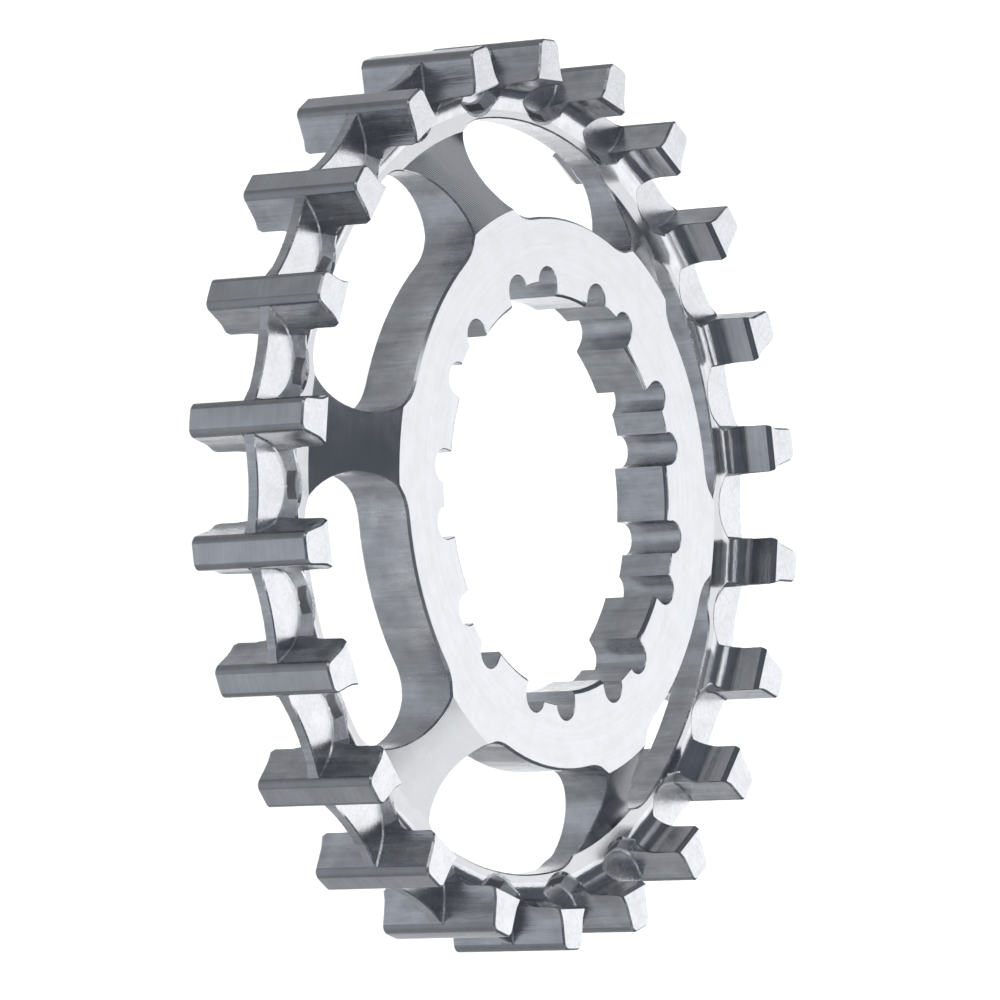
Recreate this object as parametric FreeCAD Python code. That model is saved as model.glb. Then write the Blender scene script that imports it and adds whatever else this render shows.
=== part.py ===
"""Rear sprocket for a toothed bicycle drive belt, machined from one piece of steel.

Millimetres. The axis is Z and the origin lies on it, in the plane of the rear ends of the teeth,
so the sprocket lies flat on its teeth with the front face up.
"""
import FreeCAD, Part
import math
import os

# Belt teeth
TOOTH_COUNT = 22
BELT_PITCH = 11.0
CORD_ABOVE_TIP = 1.0         # the belt's cords run this far outside the tooth tips
TOOTH_LENGTH = 11.0          # along the axis
TOOTH_HEIGHT = 3.6           # from the underside of a tooth to its tip
TIP_CORNER_RADIUS = 0.7
FIRST_TOOTH_ANGLE = 99.0     # degrees

# Grooves between the teeth
GROOVE_RADIUS = 3.57
GROOVE_DEPTH = 5.0           # from the tooth tips to the floor, beside the flange
GROOVE_RUNOUT_DEPTH = 6.0    # the same where the sloped floor ends on the rim's face
FLANK_ANGLE = 15.0           # degrees, from the groove's centre line to each flank

# Centre flange that guides the belt
FLANGE_THICKNESS = 1.0
FLANGE_DIP = 1.2             # from the tooth tips down to the edge's lowest point
FLANGE_SCALLOP_RADIUS = 16.0

# Ring under the teeth
RIM_THICKNESS = 2.6
RIM_FILLET_RADIUS = 2.05
RIM_LAND = 0.3               # between a window and the groove above it
UNDERSIDE_CHAMFER_HEIGHT = 0.22
UNDERSIDE_CHAMFER_LENGTH = 0.45

# Hub and spokes
HUB_FACE_RADIUS = 23.83
HUB_THICKNESS = 5.0
HUB_BACK_RADIUS = 24.0
SPOKE_COUNT = 6
SPOKE_WAIST = 4.84           # across the narrowest place
SPOKE_FOOT_INSET = 0.7       # from a window's outer edge in to the foot of the spoke's cone
SPOKE_BACK_STEP = 0.35       # from the rear cone's foot up to the rim's back face
FIRST_WINDOW_ANGLE = 15.0    # degrees
WINDOW_INNER_RADIUS = 22.8

# Splined bore
SPLINE_COUNT = 9
SPLINE_MINOR_RADIUS = 16.25
SPLINE_SLOT_DEPTH = 1.2      # from a land to the root of a slot
SPLINE_SLOT_WIDTH = 24.0     # degrees
SPLINE_RELIEF_RADIUS = 1.33
SPLINE_RELIEF_INSET = 0.13   # from the root of a slot in to the centre of its relief circles
SPLINE_EDGE_BREAK = 0.25
FIRST_SLOT_ANGLE = 14.4      # degrees

# Tools reach this far past what they cut
OVERRUN = 1.0

PITCH_RADIUS = TOOTH_COUNT * BELT_PITCH / (2 * math.pi)
TIP_RADIUS = PITCH_RADIUS - CORD_ABOVE_TIP
UNDERSIDE_RADIUS = TIP_RADIUS - TOOTH_HEIGHT
GROOVE_FLOOR = TIP_RADIUS - GROOVE_DEPTH
RUNOUT_FLOOR = TIP_RADIUS - GROOVE_RUNOUT_DEPTH
WINDOW_OUTER_RADIUS = RUNOUT_FLOOR - RIM_LAND
MID_PLANE = TOOTH_LENGTH / 2
RIM_FRONT = MID_PLANE + RIM_THICKNESS / 2
RIM_BACK = MID_PLANE - RIM_THICKNESS / 2
TOOTH_STEP = 360 / TOOTH_COUNT
SPLINE_ROOT_RADIUS = SPLINE_MINOR_RADIUS + SPLINE_SLOT_DEPTH
SPLINE_RELIEF_CENTRE = SPLINE_ROOT_RADIUS - SPLINE_RELIEF_INSET
FIRST_GROOVE_ANGLE = FIRST_TOOTH_ANGLE - TOOTH_STEP / 2
AXIS = FreeCAD.Vector(0, 0, 1)
CENTRE = FreeCAD.Vector(0, 0, 0)


def at_angle(radial, sideways, degrees, z=0.0):
    """A point given by its distances along and across the direction `degrees`."""
    angle = math.radians(degrees)
    x = radial * math.cos(angle) - sideways * math.sin(angle)
    y = radial * math.sin(angle) + sideways * math.cos(angle)
    return FreeCAD.Vector(x, y, z)


def on_circle(radius, degrees, z=0.0):
    return at_angle(radius, 0.0, degrees, z)


def line(start, end):
    return Part.LineSegment(start, end).toShape()


def arc(start, middle, end):
    return Part.Arc(start, middle, end).toShape()


def prism(edges, z, height):
    """A solid with the given outline at height z."""
    face = Part.Face(Part.Wire(edges))
    face.translate(FreeCAD.Vector(0, 0, z))
    return face.extrude(FreeCAD.Vector(0, 0, height))


def around(shape, count, first_angle):
    """Copies of a shape made at angle 0, spaced evenly around the axis."""
    copies = []
    for index in range(count):
        copy = shape.copy()
        copy.rotate(CENTRE, AXIS, first_angle + index * 360 / count)
        copies.append(copy)
    return Part.makeCompound(copies)


def rounded_profile(corners):
    """A closed wire through (radius, z, corner radius), with tangent arcs at the rounded corners."""
    points = [FreeCAD.Vector(radius, 0, z) for radius, z, _ in corners]
    starts, ends, edges = [], [], []
    for index, (_, _, corner_radius) in enumerate(corners):
        point = points[index]
        to_last = (points[index - 1] - point).normalize()
        to_next = (points[(index + 1) % len(points)] - point).normalize()
        half_angle = to_last.getAngle(to_next) / 2
        setback = corner_radius / math.tan(half_angle)
        starts.append(point + to_last * setback)
        ends.append(point + to_next * setback)
        if corner_radius > 0:
            bisector = (to_last + to_next).normalize()
            gap = corner_radius / math.sin(half_angle) - corner_radius
            edges.append(arc(starts[-1], point + bisector * gap, ends[-1]))
    for index in range(len(corners)):
        edges.append(line(ends[index - 1], starts[index]))
    return Part.Wire(Part.sortEdges(edges)[0])


def turned_blank():
    """The turned body before the teeth, windows and splines are cut, open at the bore."""
    front = TOOTH_LENGTH
    hub_back = front - HUB_THICKNESS
    foot_radius = WINDOW_OUTER_RADIUS - SPOKE_FOOT_INSET
    pocket_radius = UNDERSIDE_RADIUS - RIM_FILLET_RADIUS
    bored = SPLINE_MINOR_RADIUS - OVERRUN
    outside = TIP_RADIUS + OVERRUN
    return Part.Face(rounded_profile([
        (bored, hub_back, 0),
        (bored, front, 0),
        (HUB_FACE_RADIUS, front, 0),
        (foot_radius, RIM_FRONT, 0),
        (pocket_radius, RIM_FRONT, 0),
        (pocket_radius, front, 0),
        (outside, front, 0),
        (outside, 0, 0),
        (pocket_radius, 0, 0),
        (pocket_radius, RIM_BACK, 0),
        (foot_radius + SPOKE_BACK_STEP, RIM_BACK, 0),
        (foot_radius, RIM_BACK + SPOKE_BACK_STEP, 0),
        (HUB_BACK_RADIUS, hub_back, 0),
    ])).revolve(CENTRE, AXIS, 360)


def underside_cutters():
    """Tools for the flat undersides of the teeth, filleted into the rim and chamfered at their ends."""
    half_step = math.radians(TOOTH_STEP / 2)
    half_width = UNDERSIDE_RADIUS * math.tan(half_step)
    inside = (UNDERSIDE_RADIUS - RIM_FILLET_RADIUS) * math.cos(half_step) ** 2
    rim_face = RIM_THICKNESS / 2
    end = TOOTH_LENGTH / 2
    chamfer_slope = UNDERSIDE_CHAMFER_HEIGHT / UNDERSIDE_CHAMFER_LENGTH
    past_end = UNDERSIDE_RADIUS + UNDERSIDE_CHAMFER_HEIGHT + OVERRUN * chamfer_slope
    profile = rounded_profile([
        (inside, rim_face, 0),
        (UNDERSIDE_RADIUS, rim_face, RIM_FILLET_RADIUS),
        (UNDERSIDE_RADIUS, end - UNDERSIDE_CHAMFER_LENGTH, 0),
        (past_end, end + OVERRUN, 0),
        (inside, end + OVERRUN, 0),
    ])
    profile.translate(FreeCAD.Vector(0, -half_width, 0))
    front = Part.Face(profile).extrude(FreeCAD.Vector(0, 2 * half_width, 0))
    back = front.mirror(CENTRE, AXIS)
    pair = Part.makeCompound([front, back])
    pair.translate(FreeCAD.Vector(0, 0, MID_PLANE))
    return around(pair, TOOTH_COUNT, FIRST_TOOTH_ANGLE)


def underside_corner():
    """Where a groove's arc meets the flat underside of a tooth, as (across, out) in the groove."""
    half_step = math.radians(TOOTH_STEP / 2)
    arc_centre = GROOVE_FLOOR + GROOVE_RADIUS
    drop = arc_centre * math.cos(half_step) - UNDERSIDE_RADIUS
    half_tooth = arc_centre * math.sin(half_step) - math.sqrt(GROOVE_RADIUS ** 2 - drop ** 2)
    across = UNDERSIDE_RADIUS * math.sin(half_step) - half_tooth * math.cos(half_step)
    out = UNDERSIDE_RADIUS * math.cos(half_step) + half_tooth * math.sin(half_step)
    return across, out


def groove_side():
    """Points up one side of a groove, as (across, out), from the underside of a tooth to its tip.

    An arc runs through the first three, a straight flank to the fourth and a rounded corner through
    the last three.
    """
    flank = math.radians(FLANK_ANGLE)
    arc_centre = GROOVE_FLOOR + GROOVE_RADIUS
    arc_end = (GROOVE_RADIUS * math.cos(flank), arc_centre - GROOVE_RADIUS * math.sin(flank))
    base_x = arc_end[0] + TIP_CORNER_RADIUS * math.cos(flank)
    base_y = arc_end[1] - TIP_CORNER_RADIUS * math.sin(flank)
    centre_radius = TIP_RADIUS - TIP_CORNER_RADIUS
    along = base_x * math.sin(flank) + base_y * math.cos(flank)
    rise = math.sqrt(along ** 2 + centre_radius ** 2 - base_x ** 2 - base_y ** 2) - along
    centre = (base_x + rise * math.sin(flank), base_y + rise * math.cos(flank))
    flank_end = (arc_end[0] + rise * math.sin(flank), arc_end[1] + rise * math.cos(flank))
    scale = TIP_RADIUS / centre_radius
    tip = (centre[0] * scale, centre[1] * scale)
    middle_angle = (math.pi - flank + math.atan2(centre[1], centre[0])) / 2
    corner = (
        centre[0] + TIP_CORNER_RADIUS * math.cos(middle_angle),
        centre[1] + TIP_CORNER_RADIUS * math.sin(middle_angle),
    )
    root = underside_corner()
    bend_angle = (math.atan2(root[1] - arc_centre, root[0]) - flank) / 2
    bend = (
        GROOVE_RADIUS * math.cos(bend_angle),
        arc_centre + GROOVE_RADIUS * math.sin(bend_angle),
    )
    return root, bend, arc_end, flank_end, corner, tip


def tooth_prism():
    """The outline of all teeth, carried past both ends."""
    side = groove_side()
    edges = []
    for index in range(TOOTH_COUNT):
        angle = FIRST_GROOVE_ANGLE + index * TOOTH_STEP
        left = [at_angle(out, across, angle) for across, out in side]
        right = [at_angle(out, -across, angle) for across, out in side]
        next_tip = at_angle(side[-1][1], -side[-1][0], angle + TOOTH_STEP)
        for root, bend, arc_end, flank_end, corner, tip in (left, right):
            edges.append(arc(root, bend, arc_end))
            edges.append(line(arc_end, flank_end))
            edges.append(arc(flank_end, corner, tip))
        edges.append(line(right[0], left[0]))
        edges.append(arc(left[-1], on_circle(TIP_RADIUS, angle + TOOTH_STEP / 2), next_tip))
    return prism(Part.sortEdges(edges)[0], -OVERRUN, TOOTH_LENGTH + 2 * OVERRUN)


def centre_flange():
    """The thin flange, whose edge is scalloped between the teeth."""
    scallop_centre = TIP_RADIUS - FLANGE_DIP + FLANGE_SCALLOP_RADIUS
    tip_across, tip_out = groove_side()[-1]
    half_angle = math.atan2(tip_across, tip_out)
    across = scallop_centre * math.sin(half_angle)
    reach = math.sqrt(FLANGE_SCALLOP_RADIUS ** 2 - across ** 2)
    end_radius = scallop_centre * math.cos(half_angle) - reach
    end_degrees = math.degrees(half_angle)
    edges = []
    for index in range(TOOTH_COUNT):
        angle = FIRST_GROOVE_ANGLE + index * TOOTH_STEP
        start = on_circle(end_radius, angle - end_degrees)
        low = on_circle(TIP_RADIUS - FLANGE_DIP, angle)
        end = on_circle(end_radius, angle + end_degrees)
        next_start = on_circle(end_radius, angle + TOOTH_STEP - end_degrees)
        edges.append(arc(start, low, end))
        edges.append(line(end, next_start))
    base = MID_PLANE - FLANGE_THICKNESS / 2
    inside = (WINDOW_OUTER_RADIUS + GROOVE_FLOOR) / 2
    bore = Part.makeCylinder(inside, FLANGE_THICKNESS, FreeCAD.Vector(0, 0, base), AXIS)
    return prism(edges, base, FLANGE_THICKNESS).cut(bore)


def floor_cutters():
    """Round tools run at a slope, which let dirt out of the grooves over the rim on both sides."""
    run = (RIM_THICKNESS - FLANGE_THICKNESS) / 2
    fall = GROOVE_RUNOUT_DEPTH - GROOVE_DEPTH
    stretch = math.hypot(run, fall) / run
    across, out = underside_corner()
    depth = out - GROOVE_FLOOR
    tool_radius = (across ** 2 + (depth / stretch) ** 2) * stretch / (2 * depth)
    reach = RIM_FILLET_RADIUS + OVERRUN
    slope = FreeCAD.Vector(-fall, 0, run)
    start = FreeCAD.Vector(GROOVE_FLOOR + tool_radius * stretch, 0, FLANGE_THICKNESS / 2)
    before = slope * (2 * tool_radius / run)
    tool = Part.makeCylinder(tool_radius, 2 * before.Length, start - before, slope)
    low_corner = FreeCAD.Vector(out - 2 * tool_radius, -across, FLANGE_THICKNESS / 2)
    slot = Part.makeBox(2 * tool_radius + OVERRUN, 2 * across, run + reach, low_corner)
    front = tool.common(slot)
    pair = Part.makeCompound([front, front.mirror(CENTRE, AXIS)])
    pair.translate(FreeCAD.Vector(0, 0, MID_PLANE))
    return around(pair, TOOTH_COUNT, FIRST_GROOVE_ANGLE)


def window_cutters():
    """Arc slots with full round ends between the spokes."""
    end_radius = (WINDOW_OUTER_RADIUS - WINDOW_INNER_RADIUS) / 2
    middle_radius = (WINDOW_OUTER_RADIUS + WINDOW_INNER_RADIUS) / 2
    half_spoke = math.degrees(math.asin((end_radius + SPOKE_WAIST / 2) / middle_radius))
    half_angle = 180 / SPOKE_COUNT - half_spoke
    edges = []
    for side in (1, -1):
        end_point = at_angle(middle_radius, side * end_radius, side * half_angle)
        inner = on_circle(WINDOW_INNER_RADIUS, side * half_angle)
        outer = on_circle(WINDOW_OUTER_RADIUS, side * half_angle)
        edges.append(arc(inner, end_point, outer))
    for radius in (WINDOW_INNER_RADIUS, WINDOW_OUTER_RADIUS):
        start = on_circle(radius, -half_angle)
        end = on_circle(radius, half_angle)
        edges.append(arc(start, on_circle(radius, 0), end))
    slot = prism(Part.sortEdges(edges)[0], -OVERRUN, TOOTH_LENGTH + 2 * OVERRUN)
    return around(slot, SPOKE_COUNT, FIRST_WINDOW_ANGLE)


def spline_bore():
    """The bore: nine driving slots with relief circles in their corners."""
    half_slot = SPLINE_SLOT_WIDTH / 2
    relief_offset = math.degrees(math.asin(SPLINE_RELIEF_RADIUS / SPLINE_RELIEF_CENTRE))
    relief_angle = half_slot - relief_offset
    flank_end = SPLINE_RELIEF_CENTRE * math.cos(math.radians(relief_offset))
    root_cosine = (SPLINE_ROOT_RADIUS ** 2 + SPLINE_RELIEF_CENTRE ** 2 - SPLINE_RELIEF_RADIUS ** 2) / (
        2 * SPLINE_ROOT_RADIUS * SPLINE_RELIEF_CENTRE
    )
    root_angle = relief_angle - math.degrees(math.acos(root_cosine))
    relief_top = SPLINE_RELIEF_CENTRE + SPLINE_RELIEF_RADIUS
    step = 360 / SPLINE_COUNT
    edges = []
    for index in range(SPLINE_COUNT):
        slot = FIRST_SLOT_ANGLE + index * step
        for side in (1, -1):
            mouth = on_circle(SPLINE_MINOR_RADIUS, slot + side * half_slot)
            flank = on_circle(flank_end, slot + side * half_slot)
            top = on_circle(relief_top, slot + side * relief_angle)
            root = on_circle(SPLINE_ROOT_RADIUS, slot + side * root_angle)
            edges.append(line(mouth, flank))
            edges.append(arc(flank, top, root))
        root_start = on_circle(SPLINE_ROOT_RADIUS, slot - root_angle)
        root_end = on_circle(SPLINE_ROOT_RADIUS, slot + root_angle)
        edges.append(arc(root_start, on_circle(SPLINE_ROOT_RADIUS, slot), root_end))
        land_start = on_circle(SPLINE_MINOR_RADIUS, slot + half_slot)
        land_end = on_circle(SPLINE_MINOR_RADIUS, slot + step - half_slot)
        edges.append(arc(land_start, on_circle(SPLINE_MINOR_RADIUS, slot + step / 2), land_end))
    return prism(Part.sortEdges(edges)[0], -OVERRUN, TOOTH_LENGTH + 2 * OVERRUN)


def spline_edge_cone():
    """A cone that breaks the front edges of the bore's lands, with its seam in a slot."""
    wide = SPLINE_MINOR_RADIUS + SPLINE_EDGE_BREAK + OVERRUN
    narrow = SPLINE_MINOR_RADIUS - OVERRUN
    height = wide - narrow
    base = FreeCAD.Vector(0, 0, TOOTH_LENGTH + OVERRUN - height)
    cone = Part.makeCone(narrow, wide, height, base, AXIS)
    cone.rotate(CENTRE, AXIS, FIRST_SLOT_ANGLE)
    return cone


def sprocket():
    body = turned_blank().cut(underside_cutters())
    body = body.common(tooth_prism())
    body = body.fuse(centre_flange())
    body = body.cut(floor_cutters())
    body = body.cut(window_cutters())
    body = body.cut(spline_bore())
    body = body.cut(spline_edge_cone())
    return body.removeSplitter()


os.makedirs("parts", exist_ok=True)
solid = sprocket()
print("sprocket: valid", solid.isValid(), "solids", len(solid.Solids), "volume", round(solid.Volume, 1))
box = solid.BoundBox
print("box", [round(value, 3) for value in (box.XMin, box.YMin, box.ZMin, box.XMax, box.YMax, box.ZMax)])
solid.exportStep("parts/sprocket.step")
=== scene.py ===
"""Looks of a toothed belt sprocket, machined from one piece of steel.

Metres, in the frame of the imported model: the sprocket's axis is Z and its front face is up.
"""

import math

import bmesh
import bpy
from mathutils import Matrix, Vector


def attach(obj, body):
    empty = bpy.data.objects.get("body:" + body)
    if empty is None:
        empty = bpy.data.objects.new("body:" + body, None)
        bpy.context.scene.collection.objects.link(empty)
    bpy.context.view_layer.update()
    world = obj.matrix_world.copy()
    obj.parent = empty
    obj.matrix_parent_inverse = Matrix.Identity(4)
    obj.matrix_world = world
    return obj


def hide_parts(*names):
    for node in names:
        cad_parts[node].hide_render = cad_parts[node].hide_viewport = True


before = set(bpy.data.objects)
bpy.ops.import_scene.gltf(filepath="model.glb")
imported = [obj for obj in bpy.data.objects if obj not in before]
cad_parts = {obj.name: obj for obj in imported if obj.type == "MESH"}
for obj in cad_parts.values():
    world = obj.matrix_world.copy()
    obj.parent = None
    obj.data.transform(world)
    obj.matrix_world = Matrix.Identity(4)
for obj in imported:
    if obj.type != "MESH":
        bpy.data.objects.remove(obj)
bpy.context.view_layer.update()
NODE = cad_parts["sprocket"]

MM = 0.001

# Heights of the level faces
FRONT = 11 * MM
BACK = 0.0
HUB_BACK = 6 * MM
RIM_FRONT = 6.8 * MM
RIM_BACK = 4.2 * MM
FLANGE_FRONT = 6 * MM
FLANGE_BACK = 5 * MM

TOOTH_COUNT = 22
TOOTH_STEP = math.tau / TOOTH_COUNT
FIRST_TOOTH_ANGLE = math.radians(99.0)

# Radii that part the surfaces and edges
BORE_OUTSIDE = 18.9 * MM
HUB_EDGE_OUTSIDE = 24.9 * MM
WINDOW_OUTSIDE = 31.4 * MM
WINDOW_EDGE_OUTSIDE = 31.5 * MM
RIM_FLAT_OUTSIDE = 31.9 * MM
END_FACE_INSIDE = 34.16 * MM
FLANGE_EDGE_INSIDE = 35.9 * MM
CORNER_INSIDE = 36.75 * MM

# A face's slope is the size of its normal's z: 1 is level and 0 is upright
LEVEL_SLOPE = 0.999
SLOPED = 0.05
UPRIGHT_SLOPE = 0.02
# Heights within this are the same
SAME_HEIGHT = 5e-6
# A face this close to facing outward is on the tip, not on its rounded corner
TIP_OUTWARD = math.cos(math.radians(7))
# Keeps the division by a face's radius safe
LEAST_RADIUS = 1e-6

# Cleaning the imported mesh
MERGE_DISTANCE = 2e-6
FLAT_ANGLE = math.radians(0.3)
SHARP_ANGLE = math.radians(24)

# Broken edges: each is as wide as this times its weight, and edges under the angle stay whole
EDGE_BREAK = 0.2 * MM
BREAK_ANGLE = math.radians(35)
END_WEIGHT = 0.8
HUB_WEIGHT = 1.0
BORE_WEIGHT = 0.35
WEB_WEIGHT = 0.6
FLANGE_WEIGHT = 0.5
GROOVE_WEIGHT = 0.6
RIM_WEIGHT = 0.4
RUNOUT_WEIGHT = 0.75

# Steel finishes: grey value, roughness from and to, tool marks per metre, spread of the colour,
# and height of the tool marks in metres
FINISHES = {
    "milled": (0.60, (0.18, 0.32), 1600.0, 0.24, 3.2e-5),
    "faced": (0.61, (0.18, 0.28), 1500.0, 0.08, 1.1e-5),
    "ground": (0.64, (0.20, 0.30), 2600.0, 0.12, 1.2e-5),
    "turned": (0.56, (0.14, 0.24), 2600.0, 0.12, 4.0e-6),
    "underside": (0.58, (0.12, 0.22), 1800.0, 0.14, 3.0e-5),
    "floor": (0.74, (0.36, 0.52), 1300.0, 0.22, 6.0e-5),
    "tip": (0.59, (0.16, 0.28), 3000.0, 0.12, 1.0e-5),
    # The corner row's dark grey value is painted shade: the rounded tip corners get darker steel
    # than the tips, to paint the dark bands they reflect
    "corner": (0.38, (0.16, 0.26), 1600.0, 0.10, 2.0e-5),
}
KINDS = tuple(FINISHES)

# Tool marks are squeezed along the way the tool ran: around the axis a radian counts as this many
# metres, and elsewhere lengths are multiplied by a share
SQUEEZED_RADIAN = 0.0012
SQUEEZE_LEVEL = 0.05
SQUEEZE_UPRIGHT = 0.06

# The turning tool's feed, and the shares of noise and lines in the relief it leaves
FEED = 0.12 * MM
TURNED_NOISE = 0.4
TURNED_LINES = 0.2

BLOTCHES_PER_METRE = 450.0

# The part of the noise's range that is spread over the colours, and over the roughness
COLOUR_SPAN = (0.38, 0.62)
ROUGHNESS_SPAN = (0.3, 0.7)

# Slow waves in the milled walls, as a multiple of the tool marks' height
WAVES_PER_METRE = 260.0
WAVES_SQUEEZE = 0.3
WAVES_HEIGHT = 6.0

# The patch of painted dark reflection on each groove's floor
PAINTED_REFLECTION_BAND = 32.2 * MM
PAINTED_REFLECTION_BAND_HALF = 0.3 * MM
PAINTED_REFLECTION_ACROSS_HALF = 1.1 * MM
PAINTED_REFLECTION_BAND_EDGE = 0.05 * MM
PAINTED_REFLECTION_ACROSS_EDGE = 0.06 * MM
PAINTED_REFLECTION_VALUE = 0.36

CAMERA_PLACE = (-0.52837, 0.03662, 0.35115)
CAMERA_TURN = (
    (0.54089942, 0.10122965, -0.83497328),
    (-0.09601221, 0.99367295, 0.05827278),
    (0.8355893, 0.04864791, 0.54719641),
)
SENSOR = 36.0
FOCAL_LENGTH = 7.65767 * SENSOR

FLOOR_DROP = 0.12
FLOOR_HALF = 4.0
FLOOR_VALUE = 0.86

# Level softboxes: lowest and highest x and y, and radiance
SOFTBOX_HEIGHT = 0.9
SOFTBOXES = {
    "key": ((0.22, -1.25), (2.4, 0.12), 1.36),
    "side": ((0.7, 1.09), (1.9, 1.9), 0.5),
    "key_left": ((0.04, -1.25), (0.22, -0.5), 0.6),
    "top_left": ((-0.42, 0.30), (-0.15, 0.9), 1.45),
    "top_middle": ((-0.42, -0.25), (-0.28, 0.30), 0.7),
    "top_right": ((-0.28, -0.9), (-0.06, -0.25), 1.5),
}

# Narrow lamps that light the floor: place, x and y that they point at, watts, cone in degrees,
# blend, and their colour as a grey value and its blue
FLOOR_SPOTS = {
    "background": ((0.6, 0.0, 0.5), (0.205, -0.018), 25, 19.5, 0.1, (1.0, 0.0)),
    "pool": ((-0.7, 0.0, 0.6), (-0.21, -0.015), 8.5, 24, 0.9, (0.95, 0.14)),
}
SPOT_SOFTNESS = 0.02

# What shines from all around, as a grey value and its blue
SURROUND = (0.13, 0.16)


def grey(value, blue=0.02):
    """A grey with its blue raised by 1.2 times the share given, and its red lowered by 0.6 times."""
    return (value * (1 - 0.6 * blue), value, value * (1 + 1.2 * blue), 1.0)


def put(name, data):
    """Links a new object with this data to the scene."""
    item = bpy.data.objects.new(name, data)
    bpy.context.scene.collection.objects.link(item)
    return item


def make_camera():
    data = bpy.data.cameras.new("camera")
    data.sensor_width = SENSOR
    data.lens = FOCAL_LENGTH
    data.clip_start = 0.05
    data.clip_end = 50.0
    camera = put("camera", data)
    camera.matrix_world = Matrix.Translation(CAMERA_PLACE) @ Matrix(CAMERA_TURN).to_4x4()
    bpy.context.scene.camera = camera


def outside_tooth(point):
    """Distance of a point from the axis, measured along the middle of the nearest tooth."""
    angle = math.atan2(point.y, point.x) - FIRST_TOOTH_ANGLE
    nearest = FIRST_TOOTH_ANGLE + round(angle / TOOTH_STEP) * TOOTH_STEP
    return point.x * math.cos(nearest) + point.y * math.sin(nearest)


def at_height(item, *heights):
    """Whether an edge or face lies level at one of the heights."""
    return any(all(abs(vert.co.z - z) < SAME_HEIGHT for vert in item.verts) for z in heights)


def hollow_weight(edge, radius):
    """The weight of an inside corner: a fillet only where a groove's floor meets the flange."""
    in_groove = at_height(edge, FLANGE_FRONT, FLANGE_BACK) and radius > RIM_FLAT_OUTSIDE
    return GROOVE_WEIGHT if in_groove else 0.0


def edge_weight(edge):
    """How much of the full width an edge's break or fillet gets, from its place."""
    if len(edge.link_faces) != 2 or edge.calc_face_angle() < BREAK_ANGLE:
        return 0.0
    middle = (edge.verts[0].co + edge.verts[1].co) / 2
    radius = math.hypot(middle.x, middle.y)
    if not edge.is_convex:
        return hollow_weight(edge, radius)
    if at_height(edge, FRONT, BACK) and radius > RIM_FLAT_OUTSIDE:
        at_underside = all(outside_tooth(vert.co) < END_FACE_INSIDE for vert in edge.verts)
        return 0.0 if at_underside else END_WEIGHT
    if at_height(edge, FRONT, HUB_BACK) and radius < BORE_OUTSIDE:
        return BORE_WEIGHT
    if at_height(edge, FLANGE_FRONT, FLANGE_BACK) and radius > FLANGE_EDGE_INSIDE:
        return FLANGE_WEIGHT
    if at_height(edge, FRONT, HUB_BACK) and radius < HUB_EDGE_OUTSIDE:
        return HUB_WEIGHT
    upright = [face for face in edge.link_faces if abs(face.normal.z) < UPRIGHT_SLOPE]
    if len(upright) == 1 and BORE_OUTSIDE < radius < WINDOW_EDGE_OUTSIDE:
        return WEB_WEIGHT
    if WINDOW_OUTSIDE < radius < FLANGE_EDGE_INSIDE and not at_height(edge, FRONT, BACK):
        return RUNOUT_WEIGHT if at_height(edge, RIM_FRONT, RIM_BACK) else RIM_WEIGHT
    return 0.0


def level_kind(face, radius):
    """Which steel material a level face gets."""
    if radius > WINDOW_OUTSIDE and at_height(face, FRONT, BACK, FLANGE_FRONT, FLANGE_BACK):
        return "ground"
    return "faced" if at_height(face, FRONT, HUB_BACK) else "turned"


def surface_kind(face):
    """Which steel material a face gets, from its slope and place."""
    middle = face.calc_center_median()
    radius = math.hypot(middle.x, middle.y)
    slope = abs(face.normal.z)
    outward = (face.normal.x * middle.x + face.normal.y * middle.y) / max(radius, LEAST_RADIUS)
    if slope > LEVEL_SLOPE:
        return level_kind(face, radius)
    if slope > SLOPED and radius < WINDOW_OUTSIDE:
        return "turned"
    if outward < 0 and radius > WINDOW_OUTSIDE:
        return "underside"
    if slope > SLOPED:
        return "floor"
    low, high = FLANGE_BACK - SAME_HEIGHT, FLANGE_FRONT + SAME_HEIGHT
    on_flange = all(low < vert.co.z < high for vert in face.verts)
    # Rounded tip corners get the corner steel, whose darker grey is painted shade
    if radius > CORNER_INSIDE and not on_flange:
        return "tip" if outward > TIP_OUTWARD else "corner"
    return "milled"


def mark_surfaces(mesh):
    """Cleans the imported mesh, and sets each edge's bevel weight and each face's material."""
    bm = bmesh.new()
    bm.from_mesh(mesh)
    bmesh.ops.remove_doubles(bm, verts=bm.verts, dist=MERGE_DISTANCE)
    bmesh.ops.dissolve_limit(
        bm, angle_limit=FLAT_ANGLE, verts=bm.verts, edges=bm.edges, delimit=set()
    )
    bm.normal_update()
    weights = bm.edges.layers.float.new("bevel_weight_edge")
    for edge in bm.edges:
        edge[weights] = edge_weight(edge)
    for face in bm.faces:
        face.material_index = KINDS.index(surface_kind(face))
    bm.to_mesh(mesh)
    bm.free()


def make_body():
    """The sprocket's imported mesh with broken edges."""
    mesh = NODE.data.copy()
    mesh.name = "sprocket_body"
    mesh.materials.clear()
    body = put("sprocket_body", mesh)
    mark_surfaces(mesh)
    if "custom_normal" in mesh.attributes:
        mesh.attributes.remove(mesh.attributes["custom_normal"])
    mesh.polygons.foreach_set("use_smooth", [True] * len(mesh.polygons))
    mesh.set_sharp_from_angle(angle=SHARP_ANGLE)
    bevel = body.modifiers.new("broken_edges", "BEVEL")
    bevel.limit_method = "WEIGHT"
    bevel.width = EDGE_BREAK
    bevel.segments = 1
    bevel.use_clamp_overlap = False
    weighted = body.modifiers.new("weighted", "WEIGHTED_NORMAL")
    weighted.keep_sharp = True
    weighted.weight = 50
    return body


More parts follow.
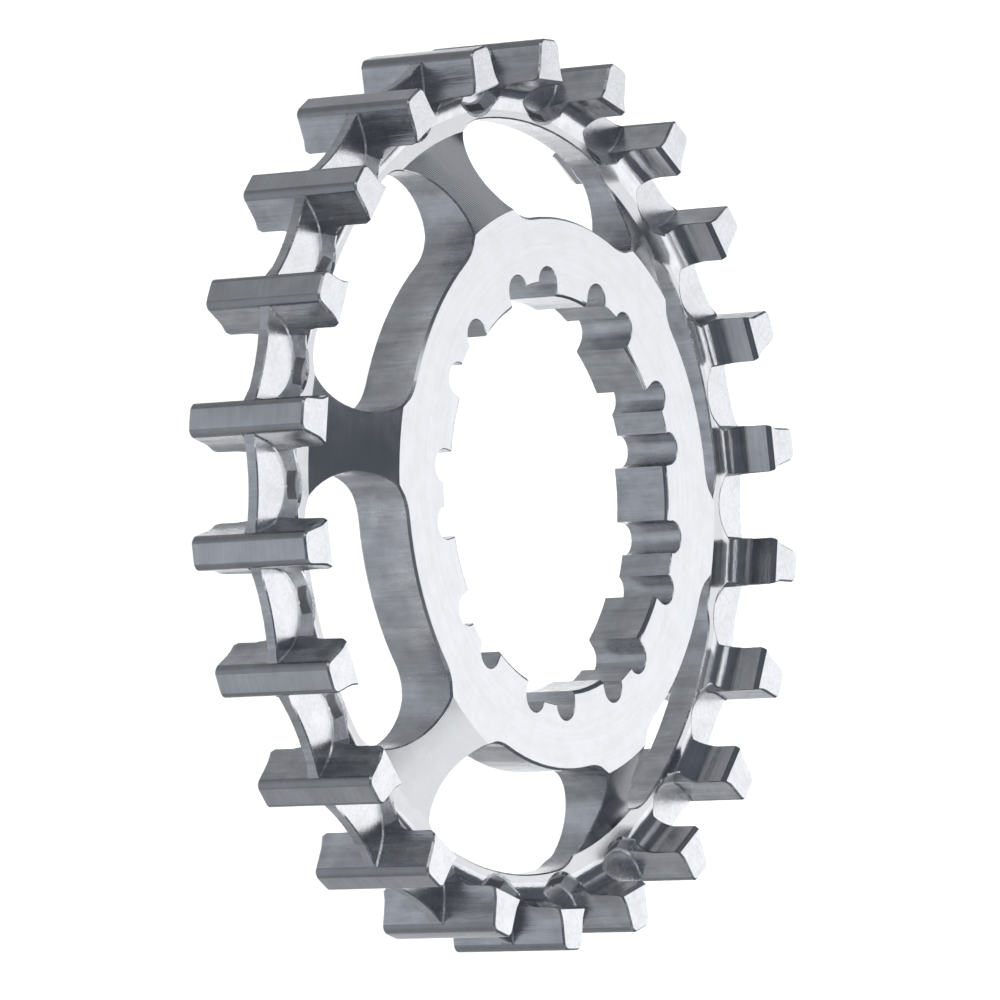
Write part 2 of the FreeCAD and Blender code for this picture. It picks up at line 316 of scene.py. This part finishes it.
class Graph:
    """Adds nodes to a material's tree and joins them."""

    def __init__(self, material):
        self.tree = material.node_tree

    def add(self, kind, inputs=(), **settings):
        """Adds a node, with each input set to the given value or linked to the given socket."""
        node = self.tree.nodes.new(kind)
        for key, value in settings.items():
            setattr(node, key, value)
        for key, value in dict(inputs).items():
            if isinstance(value, bpy.types.NodeSocket):
                self.tree.links.new(value, node.inputs[key])
            else:
                node.inputs[key].default_value = value
        return node

    def place(self):
        """Object coordinates as the three sockets x, y and z."""
        coordinates = self.add("ShaderNodeTexCoord")
        return self.add("ShaderNodeSeparateXYZ", {0: coordinates.outputs["Object"]}).outputs

    def math(self, operation, first, second=0.0):
        return self.add("ShaderNodeMath", {0: first, 1: second}, operation=operation).outputs[0]

    def times(self, first, second):
        return self.math("MULTIPLY", first, second)

    def radius(self, x, y):
        """Distance from the sprocket's axis."""
        return self.math("SQRT", self.math("ADD", self.times(x, x), self.times(y, y)))

    def vector(self, x, y, z):
        return self.add("ShaderNodeCombineXYZ", {0: x, 1: y, 2: z}).outputs[0]

    def noise(self, vector, scale, detail=2.0, roughness=0.5):
        inputs = {"Vector": vector, "Scale": scale, "Detail": detail, "Roughness": roughness}
        return self.add("ShaderNodeTexNoise", inputs).outputs[0]

    def fit(self, value, start, end, low, high):
        """Maps a value from start..end to low..high, and holds it there beyond the ends."""
        inputs = {0: value, 1: start, 2: end, 3: low, 4: high}
        return self.add("ShaderNodeMapRange", inputs).outputs[0]

    def mix(self, factor, first, second):
        """A colour between two, where each is a colour or a socket."""
        inputs = {0: factor, 6: first, 7: second}
        return self.add("ShaderNodeMix", inputs, data_type="RGBA").outputs[2]


def grain_vector(graph, kind):
    """Coordinates in metres, squeezed along the direction the tool ran in."""
    x, y, z = graph.place()
    if kind in ("turned", "faced"):
        angle = graph.math("ARCTAN2", y, x)
        return graph.vector(graph.radius(x, y), graph.times(angle, SQUEEZED_RADIAN), 0.0)
    if kind in ("underside", "tip"):
        return graph.vector(graph.times(x, SQUEEZE_LEVEL), graph.times(y, SQUEEZE_LEVEL), z)
    if kind == "milled":
        return graph.vector(x, y, graph.times(z, SQUEEZE_UPRIGHT))
    return graph.vector(x, y, z)


def turned_relief(graph, fine):
    """Fine marks with the turning tool's even lines around the axis."""
    x, y, _ = graph.place()
    lines = graph.math("SINE", graph.times(graph.radius(x, y), math.tau / FEED))
    return graph.math("ADD", graph.times(fine, TURNED_NOISE), graph.times(lines, TURNED_LINES))


def milled_relief(graph, fine):
    """Fine marks on slow waves, which break up what the walls reflect."""
    x, y, z = graph.place()
    place = graph.vector(x, y, graph.times(z, WAVES_SQUEEZE))
    waves = graph.noise(place, WAVES_PER_METRE)
    return graph.math("ADD", fine, graph.times(waves, WAVES_HEIGHT))


def painted_reflection_patch(graph):
    """1 where a dark reflection is painted on the middle of a groove's sloped floor, 0 elsewhere."""
    x, y, _ = graph.place()
    radius = graph.radius(x, y)
    half_step = TOOTH_STEP / 2
    first_groove = FIRST_TOOTH_ANGLE - half_step
    turn = graph.math("ADD", graph.math("ARCTAN2", y, x), math.tau - first_groove)
    across = graph.times(graph.math("PINGPONG", turn, half_step), radius)
    across_end = PAINTED_REFLECTION_ACROSS_HALF + PAINTED_REFLECTION_ACROSS_EDGE
    inside = graph.fit(across, PAINTED_REFLECTION_ACROSS_HALF, across_end, 1.0, 0.0)
    off_band = graph.math("ABSOLUTE", graph.math("SUBTRACT", radius, PAINTED_REFLECTION_BAND))
    band_start = PAINTED_REFLECTION_BAND_HALF - PAINTED_REFLECTION_BAND_EDGE
    band_end = PAINTED_REFLECTION_BAND_HALF + PAINTED_REFLECTION_BAND_EDGE
    in_band = graph.fit(off_band, band_start, band_end, 1.0, 0.0)
    return graph.times(inside, in_band)


def steel(kind):
    """Machined steel: fine tool marks as bump, and blotches in colour and roughness."""
    value, roughness, scale, spread, height = FINISHES[kind]
    material = bpy.data.materials.new("steel_" + kind)
    material.use_nodes = True
    graph = Graph(material)
    shader = material.node_tree.nodes["Principled BSDF"]
    shader.inputs["Metallic"].default_value = 1.0
    fine = graph.noise(grain_vector(graph, kind), scale, detail=5.0, roughness=0.75)
    if kind == "turned":
        fine = turned_relief(graph, fine)
    relief = milled_relief(graph, fine) if kind == "milled" else fine
    place = graph.vector(*graph.place())
    blotches = graph.noise(place, BLOTCHES_PER_METRE, detail=4.0, roughness=0.6)
    both = graph.times(graph.math("ADD", fine, blotches), 0.5)
    dark, light = grey(value * (1 - spread)), grey(value * (1 + spread))
    colour = graph.mix(graph.fit(both, *COLOUR_SPAN, 0.0, 1.0), dark, light)
    # Painted dark reflection: a darker patch in the middle of each groove's sloped floor
    if kind == "floor":
        colour = graph.mix(painted_reflection_patch(graph), colour, grey(value * PAINTED_REFLECTION_VALUE))
    links = material.node_tree.links
    links.new(colour, shader.inputs["Base Color"])
    links.new(graph.fit(both, *ROUGHNESS_SPAN, *roughness), shader.inputs["Roughness"])
    bump = graph.add("ShaderNodeBump", {"Strength": 1.0, "Distance": height, "Height": relief})
    links.new(bump.outputs[0], shader.inputs["Normal"])
    return material


def make_floor():
    half = FLOOR_HALF
    mesh = bpy.data.meshes.new("floor")
    corners = [(-half, -half, 0), (half, -half, 0), (half, half, 0), (-half, half, 0)]
    mesh.from_pydata(corners, [], [(0, 1, 2, 3)])
    floor = put("floor", mesh)
    floor.location.z = -FLOOR_DROP
    material = bpy.data.materials.new("floor_paper")
    material.use_nodes = True
    shader = material.node_tree.nodes["Principled BSDF"]
    shader.inputs["Base Color"].default_value = (FLOOR_VALUE, FLOOR_VALUE, FLOOR_VALUE, 1)
    shader.inputs["Roughness"].default_value = 0.9
    shader.inputs["Specular IOR Level"].default_value = 0.2
    mesh.materials.append(material)


def softbox(name, low, high, radiance):
    """A level softbox over the sprocket, between two x and y corners, with the given radiance."""
    data = bpy.data.lights.new(name, "AREA")
    data.shape = "RECTANGLE"
    data.size = high[0] - low[0]
    data.size_y = high[1] - low[1]
    data.energy = radiance * math.pi * data.size * data.size_y
    lamp = put(name, data)
    lamp.location = ((low[0] + high[0]) / 2, (low[1] + high[1]) / 2, SOFTBOX_HEIGHT)


def floor_spot(name, place, target, watts, degrees, blend, colour):
    """A narrow lamp that lights a pool of the floor and misses the sprocket."""
    data = bpy.data.lights.new(name, "SPOT")
    data.energy = watts
    data.color = grey(*colour)[:3]
    data.spot_size = math.radians(degrees)
    data.spot_blend = blend
    data.shadow_soft_size = SPOT_SOFTNESS
    lamp = put(name, data)
    lamp.location = place
    lamp.rotation_mode = "QUATERNION"
    aim = Vector((*target, -FLOOR_DROP)) - Vector(place)
    lamp.rotation_quaternion = aim.to_track_quat("-Z", "Y")


def make_studio():
    world = bpy.data.worlds.new("studio")
    bpy.context.scene.world = world
    world.use_nodes = True
    world.node_tree.nodes["Background"].inputs["Color"].default_value = grey(*SURROUND)
    for name, values in SOFTBOXES.items():
        softbox(name, *values)
    for name, values in FLOOR_SPOTS.items():
        floor_spot(name, *values)


bpy.context.scene.view_settings.view_transform = "Standard"
make_camera()
piece = make_body()
for kind in KINDS:
    piece.data.materials.append(steel(kind))
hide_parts("sprocket")
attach(piece, "root")
make_floor()
make_studio()
